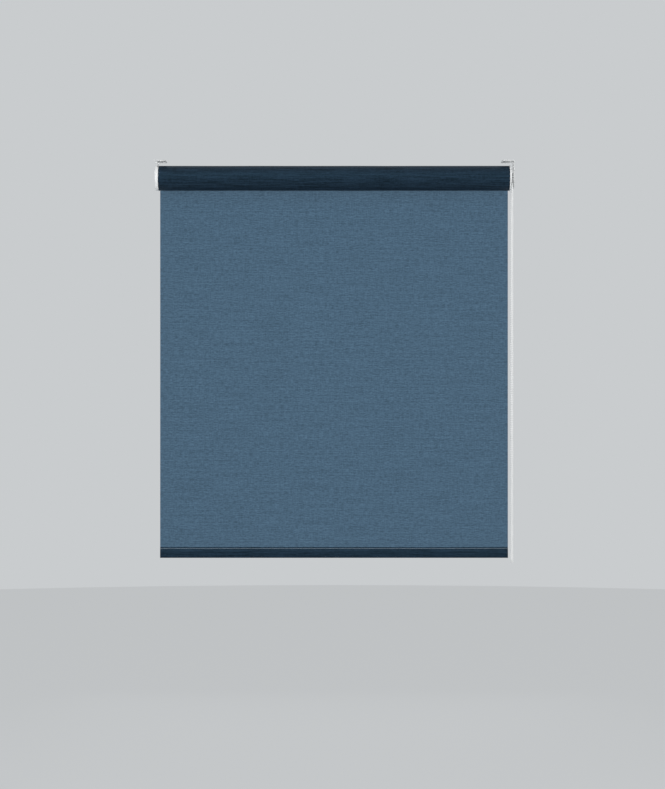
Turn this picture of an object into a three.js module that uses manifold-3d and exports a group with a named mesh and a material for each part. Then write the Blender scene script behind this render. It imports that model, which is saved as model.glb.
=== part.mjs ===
// A dim-out roller blind, worked by a bead chain and fixed under the top of a window recess.
// Millimetres. X runs along the roll, the room is towards -Y, and +Z is up.
// The origin is halfway between the two ends, straight above the roll's axis, in the
// plane that the feet of the brackets are screwed to.
import * as THREE from "three";
import { mergeVertices } from "three/addons/utils/BufferGeometryUtils.js";
import Module from "manifold-3d";

const wasm = await Module();
wasm.setup();

// Cloth and roll
const clothWidth = 938;
const clothThickness = 0.6;
const woundThickness = 3.25; // of the cloth that is still on the tube
const tubeRadius = 30;
const tubeWall = 1.5;
const keyWidth = 3; // ribs inside the tube that turn the plugs
const keyHeight = 1.2;
const axisDrop = 45.6; // fixing plane down to the roll's axis
const blindDrop = 1065.8; // fixing plane down to the bottom of the hem

// Clearances
const seatGap = 0.3; // between pieces that rest on or in each other
const runGap = 0.4; // between a turning piece and a fixed one
const overrun = 5; // how far a cutting shape runs past what it cuts

// Brackets. Both feet are alike, and the plate hangs where its end needs it
const sheet = 1.5;
const footLength = 33;
const footWidth = 56;
const footCorner = 5;
const bendRadius = 3; // outside of the fold
const shoulderDrop = 6; // fixing plane down to where the plate narrows
const strapWidth = 40;
const noseMargin = 3; // plate that is left outside the guard's drum
const slotLength = 10; // screw slots
const slotWidth = 5;
const slotSpacing = 32;

// Plugs in the tube
const plugFlange = 1.5;
const plugDepth = 25;
const plugRingWall = 2.6;
const plugRibWall = 1.8;
const plugRibs = 6;

// Idle end
const coverProud = 0.75; // cover and guard stand out past the roll
const coverWall = 1.6;
const coverEdge = 2.5; // rounding of the cover's outer edge
const coverSkirtGap = 0.8; // roll to the cover's open edge
const coverRibWall = 1.6;
const coverRibTurnShares = [0.055, 0.445, 0.68, 0.82]; // places round the cover, from the back upwards
const pinRoom = 3.2; // behind the plate, for the end of the pin
const pinRadius = 3;
const pinCollarRadius = 5;
const pinCollarLength = 3;
const pinTailRadius = 2.6;
const pinTailEnd = 1.2; // how far the tail stands out of the plug
const pinChamfer = 0.8;
const idleSleeveWall = 2.6;
const idleSleeveLength = 30;
const idleEndWall = 2;
const bushWall = 1.3;
const bushLip = 3.4; // flange past the neck
const bushFlange = 0.5;
const bushProud = 0.6;
const pinSpringWire = 0.9;
const pinSpringTurns = 7;

// Control end
const beadDiameter = 4.5;
const beadPitch = 6;
const wheelPockets = 20;
const wheelSideWall = 0.45; // beside the groove at its widest
const wheelRim = 1.4; // how far the rims stand outside the middle of the beads
const grooveGap = 0.5; // beads to the wheel
const pocketGap = 0.8;
const guardDiscWall = 1.9;
const guardWall = 1.6;
const guardEdge = 1.2;
const guardSkirtGap = 0.8;
const drumWall = 2.6;
const drumGap = 1.05; // beads to the drum
const windowHeight = 22; // slot in front that shows the beads
const windowWidth = 3.4;
const strandRoom = 0.6; // round each strand where it leaves the drum
const tongueWidth = 6; // tongues that lock the guard in the plate
const coreRadius = 6;
const coreNoseShare = 0.7; // square end in the plate, of the spindle's diameter
const coreEase = 0.8;
const coreLength = 46; // inwards from the edge of the cloth
const hubNotchWall = 1.4;
const hubSleeveLength = 41;
const dogWidth = 6; // teeth of the wheel that turn the hub
const dogWall = 2.1;
const dogEase = 0.1; // how far they stand back from the hub's bore
const dogDepth = 4;
const brakeWire = 1.6;
const brakeTurns = 5;
const brakePitch = 2.4;
const brakeStart = 7; // edge of the cloth in to the first brake spring
const brakeSpacing = 17;
const brakeGap = 0.45; // spindle to spring, clear of the flats between its points
const clipReach = 3; // outside of the spindle
const clipWall = 1.2;
const clipLand = 1.2; // spindle past the clip's groove
const clipGrooveDepth = 1;
const clipMouth = 7;

// Hem
const hemSeam = 6.5; // the two layers sewn together above the bar
const hemTaper = 1.4; // where they part
const hemRound = 1.2; // bottom corners
const barThickness = 3;
const barHeight = 16;
const barCapWall = 0.7;
const barCapLength = 14;
const barCapEnd = 1.5;

// Chain
const chainDrop = 1075; // fixing plane down to the bottom of the loop
const heldLeg = 20.4; // roll's axis down to where the chain hangs free
const connectorLength = 12;
const connectorRadius = 3.4;
const connectorEdge = 1;

// Counts of flats
const roundFlats = 56;
const smallFlats = 32;
const arcFlats = 6;
const beadSides = 8;
const wireSides = 5;
const turnSteps = 12;
const strandSteps = 28;
const bendSteps = 5;
const wheelSteps = 20;
const pocketFlats = 6;

// Places that follow from the sizes
const rollRadius = tubeRadius + woundThickness;
const plugRadius = tubeRadius - tubeWall - seatGap;
const flangeOuter = seatGap + plugFlange;
const coverRadius = rollRadius + coverProud;

const bushBore = pinRadius + seatGap;
const bushNeckRadius = bushBore + bushWall;
const plugBore = pinCollarRadius + runGap;
const idleSleeveRadius = plugBore + idleSleeveWall;
const idlePlateAt = flangeOuter + bushFlange + 2 * seatGap;
const idleReach = idlePlateAt + sheet + pinRoom + coverWall;

const hubBore = coreRadius + brakeWire + 2 * brakeGap;
const wheelBossRadius = hubBore + dogEase + dogWall + seatGap;
const hubSleeveRadius = wheelBossRadius + hubNotchWall;
const beadRadius = beadDiameter / 2;
const chainRadius = (beadPitch * wheelPockets) / (2 * Math.PI);
const wheelWidth = beadDiameter + 2 * (grooveGap + wheelSideWall);
const guardAt = flangeOuter + 2 * seatGap;
const wheelAt = guardAt + guardDiscWall + runGap;
const controlPlateAt = wheelAt + wheelWidth + runGap;
const controlReach = controlPlateAt + sheet;
const footInner = controlReach - footLength;
const drumInner = chainRadius + beadRadius + drumGap;
const drumRadius = drumInner + drumWall;
const noseRadius = drumRadius + noseMargin;

const clothLeft = -clothWidth / 2;
const clothRight = clothWidth / 2;
const axisZ = -axisDrop;
const chainX = clothRight + wheelAt + wheelWidth / 2;

const capHeight = barHeight + 2 * (barCapWall + seatGap);
const hemHeight = clothThickness + capHeight + 2 * seatGap + 2 * hemTaper + hemSeam;
const panelFront = rollRadius + seatGap;
const hemBottom = -blindDrop;
const hemTop = hemBottom + hemHeight;
const hemY = panelFront + clothThickness / 2;
const loopZ = -chainDrop + beadRadius;
const loopFlat = connectorLength / 2 + seatGap;
const bendReach = chainRadius - loopFlat;
const bendZ = loopZ + bendReach;

// An end of the blind: its place along X, and the way that leads outwards
const idleEnd = { edge: clothLeft, out: -1 };
const controlEnd = { edge: clothRight, out: 1 };

// Joining and cutting
function solidOf(geometry) {
  const bare = geometry.index ? geometry.toNonIndexed() : geometry.clone();
  bare.deleteAttribute("normal");
  bare.deleteAttribute("uv");
  const merged = mergeVertices(bare);
  return new wasm.Manifold(
    new wasm.Mesh({
      numProp: 3,
      vertProperties: merged.attributes.position.array,
      triVerts: new Uint32Array(merged.index.array),
    }),
  );
}

function join(...solids) {
  return solids.reduce((whole, piece) => whole.add(piece));
}

function cut(solid, ...tools) {
  return tools.reduce((whole, tool) => whole.subtract(tool), solid);
}

function geometryOf(solid) {
  const { vertProperties, triVerts } = solid.getMesh();
  const geometry = new THREE.BufferGeometry();
  geometry.setAttribute("position", new THREE.BufferAttribute(vertProperties, 3));
  geometry.setIndex(new THREE.BufferAttribute(triVerts, 1));
  geometry.computeVertexNormals();
  return geometry;
}

// Shapes that the pieces start from
function block([x0, x1], [y0, y1], [z0, z1]) {
  const box = new THREE.BoxGeometry(Math.abs(x1 - x0), Math.abs(y1 - y0), Math.abs(z1 - z0));
  return solidOf(box.translate((x0 + x1) / 2, (y0 + y1) / 2, (z0 + z1) / 2));
}

function arc(centreA, centreB, radius, startTurns, endTurns, flats = arcFlats) {
  return Array.from({ length: flats + 1 }, (_, i) => {
    const angle = 2 * Math.PI * (startTurns + ((endTurns - startTurns) * i) / flats);
    return [centreA + radius * Math.cos(angle), centreB + radius * Math.sin(angle)];
  });
}

function shapeOf(points) {
  return new THREE.Shape(points.map(([a, b]) => new THREE.Vector2(a, b)));
}

// An outline in Y and Z, run along X between two places
function alongX(shape, start, end) {
  const length = Math.abs(end - start);
  const geometry = new THREE.ExtrudeGeometry(shape, { depth: length, bevelEnabled: false });
  const turn = new THREE.Matrix4().makeBasis(
    new THREE.Vector3(0, 1, 0),
    new THREE.Vector3(0, 0, 1),
    new THREE.Vector3(1, 0, 0),
  );
  return solidOf(geometry.applyMatrix4(turn).translate(Math.min(start, end), 0, 0));
}

// An outline in X and Z, run across by a width that is centred on the roll
function acrossY(shape, width) {
  const geometry = new THREE.ExtrudeGeometry(shape, { depth: width, bevelEnabled: false });
  return solidOf(geometry.rotateX(Math.PI / 2).translate(0, width / 2, 0));
}

// An outline in X and Y, run up Z between two heights
function upZ(shape, bottom, top) {
  const geometry = new THREE.ExtrudeGeometry(shape, { depth: top - bottom, bevelEnabled: false });
  return solidOf(geometry.translate(0, 0, bottom));
}

// A profile of [radius, distance out from the edge of the cloth], turned round the roll's axis
function turned(end, profile, flats = roundFlats) {
  const points = profile.map(([radius, outwards]) => new THREE.Vector2(radius, outwards));
  const onAxis = profile[0][0] === 0;
  if (!onAxis) points.push(points[0].clone());
  const geometry = new THREE.LatheGeometry(points, flats);
  return solidOf(geometry.rotateZ((-end.out * Math.PI) / 2).translate(end.edge, 0, axisZ));
}

function ring(end, inner, outer, start, stop, flats = roundFlats) {
  const profile = [
    [inner, start],
    [outer, start],
    [outer, stop],
    [inner, stop],
  ];
  return turned(end, profile, flats);
}

// A rib that stands out from the axis, at a share of a turn from the back upwards
function spoke(end, inner, outer, wall, start, stop, turnShare) {
  const box = new THREE.BoxGeometry(Math.abs(stop - start), outer - inner, wall);
  box.translate(0, (inner + outer) / 2, 0).rotateX(2 * Math.PI * turnShare);
  return solidOf(box.translate(end.edge + (end.out * (start + stop)) / 2, 0, axisZ));
}

function outFrom(end, start, stop) {
  return [end.edge + end.out * start, end.edge + end.out * stop];
}

// A round wire or cord along a path
function tubeAlong(path, radius, sides, steps) {
  const section = shapeOf(arc(0, 0, radius, 0, 1, sides).slice(0, -1));
  return solidOf(new THREE.ExtrudeGeometry(section, { steps, extrudePath: path, bevelEnabled: false }));
}

class Helix extends THREE.Curve {
  constructor(startX, endX, radius, turns) {
    super();
    Object.assign(this, { startX, endX, radius, turns });
  }

  getPoint(t) {
    const angle = 2 * Math.PI * this.turns * t;
    const x = this.startX + (this.endX - this.startX) * t;
    return new THREE.Vector3(x, this.radius * Math.cos(angle), axisZ + this.radius * Math.sin(angle));
  }
}

// Brackets
function bracket(end, plateAt, foldWidth, ears) {
  const plateOuter = plateAt + sheet;
  const toX = ([outwards, other]) => [end.edge + end.out * outwards, other];
  const fold = [
    [footInner, 0],
    ...arc(plateOuter - bendRadius, -bendRadius, bendRadius, 0.25, 0),
    [plateOuter, -shoulderDrop],
    [plateAt, -shoulderDrop],
    ...arc(plateOuter - bendRadius, -bendRadius, bendRadius - sheet, 0, 0.25),
    [footInner, -sheet],
  ];
  const cornerAt = footInner + footCorner;
  const plan = [
    [controlReach, -footWidth / 2],
    [controlReach, footWidth / 2],
    ...arc(cornerAt, footWidth / 2 - footCorner, footCorner, 0.25, 0.5),
    ...arc(cornerAt, footCorner - footWidth / 2, footCorner, 0.5, 0.75),
  ];
  const slotX = end.edge + (end.out * (footInner + plateOuter)) / 2;
  const slotHalf = (slotLength - slotWidth) / 2;
  const slot = (y) =>
    shapeOf([
      ...arc(slotX + slotHalf, y, slotWidth / 2, -0.25, 0.25),
      ...arc(slotX - slotHalf, y, slotWidth / 2, 0.25, 0.75),
    ]);
  const foot = join(acrossY(shapeOf(fold.map(toX)), foldWidth), ...ears).intersect(
    upZ(shapeOf(plan.map(toX)), -shoulderDrop, 0),
  );
  const strapMeets = Math.acos(strapWidth / 2 / noseRadius) / (2 * Math.PI);
  const plate = shapeOf([
    [-strapWidth / 2, -bendRadius],
    ...arc(0, axisZ, noseRadius, 0.5 - strapMeets, 1 + strapMeets, roundFlats),
    [strapWidth / 2, -bendRadius],
  ]);
  return cut(
    join(foot, alongX(plate, ...outFrom(end, plateAt, plateOuter))),
    upZ(slot(slotSpacing / 2), -shoulderDrop, overrun),
    upZ(slot(-slotSpacing / 2), -shoulderDrop, overrun),
  );
}

// At the idle end the foot goes on past the fold as two ears, one on each side of the strap
function idleBracket() {
  const foldAt = idlePlateAt + sheet - bendRadius;
  const ears = [-1, 1].map((way) => {
    const inner = way * (strapWidth / 2 + seatGap);
    return block(outFrom(idleEnd, footInner, controlReach), [inner, (way * footWidth) / 2], [-sheet, 0]);
  });
  const flat = block(outFrom(idleEnd, footInner, foldAt), [-footWidth / 2, footWidth / 2], [-sheet, 0]);
  const hole = bushNeckRadius + seatGap;
  const stop = idlePlateAt + sheet + overrun;
  const through = ring(idleEnd, 0, hole, idlePlateAt - overrun, stop, smallFlats);
  return cut(bracket(idleEnd, idlePlateAt, strapWidth, [flat, ...ears]), through);
}

function controlBracket() {
  const through = outFrom(controlEnd, controlPlateAt - overrun, controlReach + overrun);
  const noseHalf = coreRadius * coreNoseShare + seatGap;
  const nose = block(through, [-noseHalf, noseHalf], [axisZ - noseHalf, axisZ + noseHalf]);
  const tongueHalf = tongueWidth / 2 + seatGap;
  const slots = [-1, 1].map((way) =>
    block(
      through,
      [-tongueHalf, tongueHalf],
      [axisZ + way * (tongueInner - seatGap), axisZ + way * (tongueOuter + seatGap)],
    ),
  );
  return cut(bracket(controlEnd, controlPlateAt, footWidth, []), nose, ...slots);
}

// Idle end
function idleCover() {
  const inside = coverRadius - coverWall;
  const faceInner = idleReach - coverWall;
  const shell = turned(idleEnd, [
    [0, faceInner],
    [inside, faceInner],
    [inside, coverSkirtGap],
    [coverRadius, coverSkirtGap],
    ...arc(coverRadius - coverEdge, idleReach - coverEdge, coverEdge, 0, 0.25),
    [0, idleReach],
  ]);
  const ribs = coverRibTurnShares.map((turnShare) =>
    spoke(
      idleEnd,
      noseRadius + seatGap,
      coverRadius - coverWall / 2,
      coverRibWall,
      coverSkirtGap + coverWall,
      idleReach - coverWall / 2,
      turnShare,
    ),
  );
  const notchHalf = strapWidth / 2 + seatGap;
  const notch = block(
    outFrom(idleEnd, coverSkirtGap - overrun, idlePlateAt + sheet + seatGap),
    [-notchHalf, notchHalf],
    [axisZ, axisZ + coverRadius + overrun],
  );
  return cut(join(shell, ...ribs), notch);
}

function idleBush() {
  const start = idlePlateAt - seatGap - bushFlange;
  const flangeStop = start + bushFlange;
  const stop = idlePlateAt + sheet + bushProud;
  const flangeRadius = bushNeckRadius + bushLip;
  const profile = [
    [bushBore, start],
    [flangeRadius, start],
    [flangeRadius, flangeStop],
    [bushNeckRadius, flangeStop],
    [bushNeckRadius, stop],
    [bushBore, stop],
  ];
  return turned(idleEnd, profile, smallFlats);
}

// Flange, ribbed ring and sleeve that fit an end of the tube
function tubePlug(end, sleeve, sleeveRadius) {
  const ribs = Array.from({ length: plugRibs }, (_, i) =>
    spoke(
      end,
      sleeveRadius - plugRibWall / 2,
      plugRadius - plugRingWall / 2,
      plugRibWall,
      -plugDepth,
      flangeOuter - plugFlange / 2,
      (i + 0.5) / plugRibs,
    ),
  );
  const flange = ring(end, sleeveRadius - plugRibWall / 2, tubeRadius, seatGap, flangeOuter);
  const shell = ring(end, plugRadius - plugRingWall, plugRadius, -plugDepth, flangeOuter - plugFlange / 2);
  const groove = (way) =>
    block(
      outFrom(end, -plugDepth - overrun, 0),
      [-keyWidth / 2 - seatGap, keyWidth / 2 + seatGap],
      [
        axisZ + way * (tubeRadius - tubeWall - keyHeight - seatGap),
        axisZ + way * (tubeRadius + overrun),
      ],
    );
  return cut(join(sleeve, flange, shell, ...ribs), groove(1), groove(-1));
}

function idlePlug() {
  const lip = pinRadius + seatGap;
  const tailHole = pinTailRadius + seatGap;
  const wallInner = idleEndWall - idleSleeveLength;
  const profile = [
    [tailHole, -idleSleeveLength],
    [idleSleeveRadius, -idleSleeveLength],
    [idleSleeveRadius, flangeOuter],
    [lip, flangeOuter],
    [lip, seatGap],
    [plugBore, seatGap],
    [plugBore, wallInner],
    [tailHole, wallInner],
  ];
  return tubePlug(idleEnd, turned(idleEnd, profile, smallFlats), idleSleeveRadius);
}

// The pin's collar rests behind the plug's lip, and its tail runs out through the plug's end wall
const pinTip = idleReach - coverWall - runGap;
const collarOuter = 0;
const collarInner = collarOuter - pinCollarLength;

function idlePin() {
  const profile = [
    [0, -idleSleeveLength - pinTailEnd],
    [pinTailRadius, -idleSleeveLength - pinTailEnd],
    [pinTailRadius, collarInner],
    [pinCollarRadius, collarInner],
    [pinCollarRadius, collarOuter],
    [pinRadius, collarOuter],
    [pinRadius, pinTip - pinChamfer],
    [pinRadius - pinChamfer, pinTip],
    [0, pinTip],
  ];
  return turned(idleEnd, profile, smallFlats);
}

function idlePinSpring() {
  const wireRadius = pinSpringWire / 2;
  const room = seatGap + wireRadius;
  const start = collarInner - room;
  const stop = idleEndWall - idleSleeveLength + room;
  const radius = pinCollarRadius - wireRadius;
  const path = new Helix(...outFrom(idleEnd, start, stop), radius, pinSpringTurns);
  return tubeAlong(path, wireRadius, wireSides, pinSpringTurns * turnSteps);
}

// Control end
const tongueInner = drumInner + seatGap;
const tongueOuter = drumRadius - seatGap;

function controlGuard() {
  const discOuter = guardAt + guardDiscWall;
  const inside = coverRadius - guardWall;
  const bore = wheelBossRadius + runGap;
  const rim = turned(controlEnd, [
    [bore, guardAt],
    [inside, guardAt],
    [inside, guardSkirtGap],
    [coverRadius, guardSkirtGap],
    ...arc(coverRadius - guardEdge, discOuter - guardEdge, guardEdge, 0, 0.25),
    [bore, discOuter],
  ]);
  const drum = ring(
    controlEnd,
    drumInner,
    drumRadius,
    discOuter - guardDiscWall / 2,
    controlPlateAt - seatGap,
  );
  const tongues = [-1, 1].map((way) =>
    block(
      outFrom(controlEnd, discOuter, controlReach - seatGap),
      [-tongueWidth / 2, tongueWidth / 2],
      [axisZ + way * tongueInner, axisZ + way * tongueOuter],
    ),
  );
  const window = block(
    [chainX - windowWidth / 2, chainX + windowWidth / 2],
    [-drumRadius - overrun, -chainRadius],
    [axisZ - windowHeight / 2, axisZ + windowHeight / 2],
  );
  const strandHalf = beadRadius + strandRoom;
  const exits = [-1, 1].map((way) =>
    block(
      [chainX - strandHalf, chainX + strandHalf],
      [way * chainRadius - strandHalf, way * chainRadius + strandHalf],
      [axisZ - drumRadius - overrun, axisZ],
    ),
  );
  return cut(join(rim, drum, ...tongues), window, ...exits);
}

function controlCore() {
  const shoulder = controlPlateAt - seatGap;
  const groove = coreRadius - clipGrooveDepth;
  const grooveStart = -coreLength + clipLand;
  const grooveStop = grooveStart + clipWall + seatGap;
  const shaft = turned(
    controlEnd,
    [
      [0, -coreLength],
      [coreRadius - coreEase, -coreLength],
      [coreRadius, -coreLength + coreEase],
      [coreRadius, grooveStart],
      [groove, grooveStart],
      [groove, grooveStop],
      [coreRadius, grooveStop],
      [coreRadius, shoulder],
      [0, shoulder],
    ],
    smallFlats,
  );
  const noseHalf = coreRadius * coreNoseShare;
  const nose = block(
    outFrom(controlEnd, shoulder - coreEase, controlReach - seatGap),
    [-noseHalf, noseHalf],
    [axisZ - noseHalf, axisZ + noseHalf],
  );
  return join(shaft, nose);
}

function coreClip() {
  const clipRadius = coreRadius + clipReach;
  const start = -coreLength + clipLand + seatGap / 2;
  const inner = coreRadius - clipGrooveDepth + seatGap;
  const whole = ring(controlEnd, inner, clipRadius, start, start + clipWall, smallFlats);
  const mouth = block(
    outFrom(controlEnd, start - overrun, start + clipWall + overrun),
    [-clipMouth / 2, clipMouth / 2],
    [axisZ - clipRadius - overrun, axisZ],
  );
  return cut(whole, mouth);
}

function brakeSpring(place) {
  const wireRadius = brakeWire / 2;
  const start = -brakeStart - place * brakeSpacing;
  const path = new Helix(
    ...outFrom(controlEnd, start, start - brakeTurns * brakePitch),
    coreRadius + brakeGap + wireRadius,
    brakeTurns,
  );
  return tubeAlong(path, wireRadius, wireSides, brakeTurns * turnSteps);
}

// Teeth on the wheel's boss, and with room around them the notches that they turn the hub by
function dogs(room) {
  const outer = wheelBossRadius - seatGap + room;
  return [0.25, 0.75].map((turnShare) =>
    spoke(
      controlEnd,
      wheelBossRadius - seatGap - dogWall - room,
      outer,
      dogWidth + 2 * room,
      flangeOuter - dogDepth - room,
      flangeOuter + 2 * seatGap + room,
      turnShare,
    ),
  );
}

function chainWheel() {
  const middle = wheelAt + wheelWidth / 2;
  const wheelRadius = chainRadius + wheelRim;
  const grooveRadius = beadRadius + grooveGap;
  const lipTurns = Math.acos(wheelRim / grooveRadius) / (2 * Math.PI);
  const bore = coreRadius + runGap;
  const bossAt = flangeOuter + runGap;
  const profile = [
    [bore, bossAt],
    [wheelBossRadius, bossAt],
    [wheelBossRadius, wheelAt],
    [wheelRadius, wheelAt],
    ...arc(chainRadius, middle, grooveRadius, 1 - lipTurns, lipTurns),
    [wheelRadius, wheelAt + wheelWidth],
    [bore, wheelAt + wheelWidth],
  ];
  const body = turned(controlEnd, profile, 2 * wheelPockets);
  const pockets = Array.from({ length: wheelPockets }, (_, i) => {
    const angle = (2 * Math.PI * (i + 0.5)) / wheelPockets;
    const ball = new THREE.SphereGeometry(beadRadius + pocketGap, pocketFlats, pocketFlats / 2);
    const y = chainRadius * Math.cos(angle);
    const z = axisZ + chainRadius * Math.sin(angle);
    return solidOf(ball.translate(chainX, y, z));
  });
  return cut(join(body, ...dogs(0)), ...pockets);
}

function driveHub() {
  const sleeve = ring(controlEnd, hubBore, hubSleeveRadius, -hubSleeveLength, flangeOuter, smallFlats);
  return cut(tubePlug(controlEnd, sleeve, hubSleeveRadius), ...dogs(seatGap));
}

// Roller and cloth
function rollerTube() {
  const ends = [clothLeft, clothRight];
  const inside = tubeRadius - tubeWall;
  const wall = ring(controlEnd, inside, tubeRadius, -clothWidth, 0);
  const key = (way) =>
    block(
      ends,
      [-keyWidth / 2, keyWidth / 2],
      [axisZ + way * (inside - keyHeight), axisZ + way * (inside + tubeWall / 2)],
    );
  return join(wall, key(1), key(-1));
}

// The wound cloth grows by its own thickness in a turn, and leaves the roll at the back
function fabricRoll() {
  const outline = Array.from({ length: roundFlats + 1 }, (_, i) => {
    const share = i / roundFlats;
    const radius = rollRadius - clothThickness * share;
    const angle = 2 * Math.PI * share;
    return [radius * Math.cos(angle), axisZ + radius * Math.sin(angle)];
  });
  const bore = ring(controlEnd, 0, tubeRadius + seatGap, -clothWidth - overrun, overrun);
  return cut(alongX(shapeOf(outline), clothLeft, clothRight), bore);
}

function fabricPanel() {
  return block(
    [clothLeft, clothRight],
    [panelFront, panelFront + clothThickness],
    [hemTop + seatGap, axisZ],
  );
}

const cavityHalf = barThickness / 2 + barCapWall + 2 * seatGap;
const cavityTop = hemTop - hemSeam - hemTaper;
const barMiddle = hemBottom + clothThickness + seatGap + capHeight / 2;

function hemPocket() {
  const half = cavityHalf + clothThickness;
  const seamHalf = clothThickness;
  const outside = [
    [hemY - seamHalf, hemTop],
    [hemY - seamHalf, hemTop - hemSeam],
    [hemY - half, cavityTop - hemTaper],
    ...arc(hemY - half + hemRound, hemBottom + hemRound, hemRound, 0.5, 0.75),
    ...arc(hemY + half - hemRound, hemBottom + hemRound, hemRound, 0.75, 1),
    [hemY + half, cavityTop - hemTaper],
    [hemY + seamHalf, hemTop - hemSeam],
    [hemY + seamHalf, hemTop],
  ];
  const inside = [
    [hemY, cavityTop],
    [hemY - cavityHalf, cavityTop - hemTaper],
    ...arc(hemY - half + hemRound, hemBottom + hemRound, hemRound - clothThickness, 0.5, 0.75),
    ...arc(hemY + half - hemRound, hemBottom + hemRound, hemRound - clothThickness, 0.75, 1),
    [hemY + cavityHalf, cavityTop - hemTaper],
  ];
  return cut(
    alongX(shapeOf(outside), clothLeft, clothRight),
    alongX(shapeOf(inside), clothLeft - overrun, clothRight + overrun),
  );
}

function bottomBar() {
  const half = barThickness / 2;
  const inset = barCapEnd + seatGap;
  return block(
    [clothLeft + inset, clothRight - inset],
    [hemY - half, hemY + half],
    [barMiddle - barHeight / 2, barMiddle + barHeight / 2],
  );
}

function barCap(end) {
  const halfY = barThickness / 2 + seatGap;
  const halfZ = barHeight / 2 + seatGap;
  const outer = block(
    outFrom(end, -barCapLength, 0),
    [hemY - halfY - barCapWall, hemY + halfY + barCapWall],
    [barMiddle - halfZ - barCapWall, barMiddle + halfZ + barCapWall],
  );
  const inner = block(
    outFrom(end, -barCapLength - overrun, -barCapEnd),
    [hemY - halfY, hemY + halfY],
    [barMiddle - halfZ, barMiddle + halfZ],
  );
  return cut(outer, inner);
}

// Chain
class OverWheel extends THREE.Curve {
  getPoint(t) {
    const over = Math.PI * chainRadius;
    const run = t * (2 * heldLeg + over);
    if (run < heldLeg) return new THREE.Vector3(chainX, -chainRadius, axisZ - heldLeg + run);
    if (run > heldLeg + over)
      return new THREE.Vector3(chainX, chainRadius, axisZ - (run - heldLeg - over));
    const angle = Math.PI - (run - heldLeg) / chainRadius;
    const y = chainRadius * Math.cos(angle);
    return new THREE.Vector3(chainX, y, axisZ + chainRadius * Math.sin(angle));
  }
}

function chainOnWheel() {
  return tubeAlong(new OverWheel(), beadRadius, beadSides, wheelSteps);
}

function chainStrand(way) {
  const top = new THREE.Vector3(chainX, way * chainRadius, axisZ - heldLeg - seatGap);
  const bottom = new THREE.Vector3(chainX, way * chainRadius, bendZ + seatGap);
  return tubeAlong(new THREE.LineCurve3(top, bottom), beadRadius, beadSides, strandSteps);
}

class Bend extends THREE.Curve {
  constructor(way) {
    super();
    this.way = way;
  }

  getPoint(t) {
    const angle = (Math.PI / 2) * t;
    const y = this.way * (loopFlat + bendReach * Math.cos(angle));
    return new THREE.Vector3(chainX, y, bendZ - bendReach * Math.sin(angle));
  }
}

function chainBend(way) {
  return tubeAlong(new Bend(way), beadRadius, beadSides, bendSteps);
}

function chainConnector() {
  const half = connectorLength / 2;
  const outer = connectorRadius - connectorEdge;
  const points = [
    [0, -half],
    [outer, -half],
    [connectorRadius, connectorEdge - half],
    [connectorRadius, half - connectorEdge],
    [outer, half],
    [0, half],
  ].map(([radius, along]) => new THREE.Vector2(radius, along));
  return solidOf(new THREE.LatheGeometry(points, smallFlats).translate(chainX, 0, loopZ));
}

// Materials
const paintedSteel = () =>
  new THREE.MeshStandardMaterial({ color: "#e4e6e6", roughness: 0.4, metalness: 0.1 });
const whitePlastic = () =>
  new THREE.MeshStandardMaterial({ color: "#f0f2f3", roughness: 0.35, metalness: 0 });
const darkPlastic = () =>
  new THREE.MeshStandardMaterial({ color: "#3a3d40", roughness: 0.5, metalness: 0 });
const aluminium = () =>
  new THREE.MeshStandardMaterial({ color: "#b9bcbe", roughness: 0.35, metalness: 1 });
const steel = () =>
  new THREE.MeshStandardMaterial({ color: "#8f9294", roughness: 0.3, metalness: 1 });
const navyCloth = () =>
  new THREE.MeshStandardMaterial({ color: "#22344a", roughness: 0.9, metalness: 0 });
const litCloth = () =>
  new THREE.MeshStandardMaterial({ color: "#4b6478", roughness: 0.9, metalness: 0 });

const blind = new THREE.Group();

function add(name, solid, material) {
  const mesh = new THREE.Mesh(geometryOf(solid), material);
  mesh.name = name;
  blind.add(mesh);
}

add("control_bracket", controlBracket(), paintedSteel());
add("control_guard", controlGuard(), whitePlastic());
add("control_core", controlCore(), darkPlastic());
add("brake_spring_outer", brakeSpring(0), steel());
add("brake_spring_inner", brakeSpring(1), steel());
add("core_clip", coreClip(), steel());
add("chain_wheel", chainWheel(), whitePlastic());
add("drive_hub", driveHub(), whitePlastic());

add("idle_bracket", idleBracket(), paintedSteel());
add("idle_cover", idleCover(), whitePlastic());
add("idle_bush", idleBush(), whitePlastic());
add("idle_plug", idlePlug(), whitePlastic());
add("idle_pin", idlePin(), steel());
add("idle_pin_spring", idlePinSpring(), steel());

add("roller_tube", rollerTube(), aluminium());
add("fabric_roll", fabricRoll(), navyCloth());
add("fabric_panel", fabricPanel(), litCloth());
add("hem_pocket", hemPocket(), navyCloth());
add("bottom_bar", bottomBar(), steel());
add("bar_cap_left", barCap(idleEnd), darkPlastic());
add("bar_cap_right", barCap(controlEnd), darkPlastic());

add("chain_on_wheel", chainOnWheel(), whitePlastic());
add("chain_front", chainStrand(-1), whitePlastic());
add("chain_back", chainStrand(1), whitePlastic());
add("chain_bend_front", chainBend(-1), whitePlastic());
add("chain_bend_back", chainBend(1), whitePlastic());
add("chain_connector", chainConnector(), whitePlastic());

export default blind;
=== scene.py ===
import math

import bmesh
import bpy
from mathutils import Matrix, Vector, noise


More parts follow.
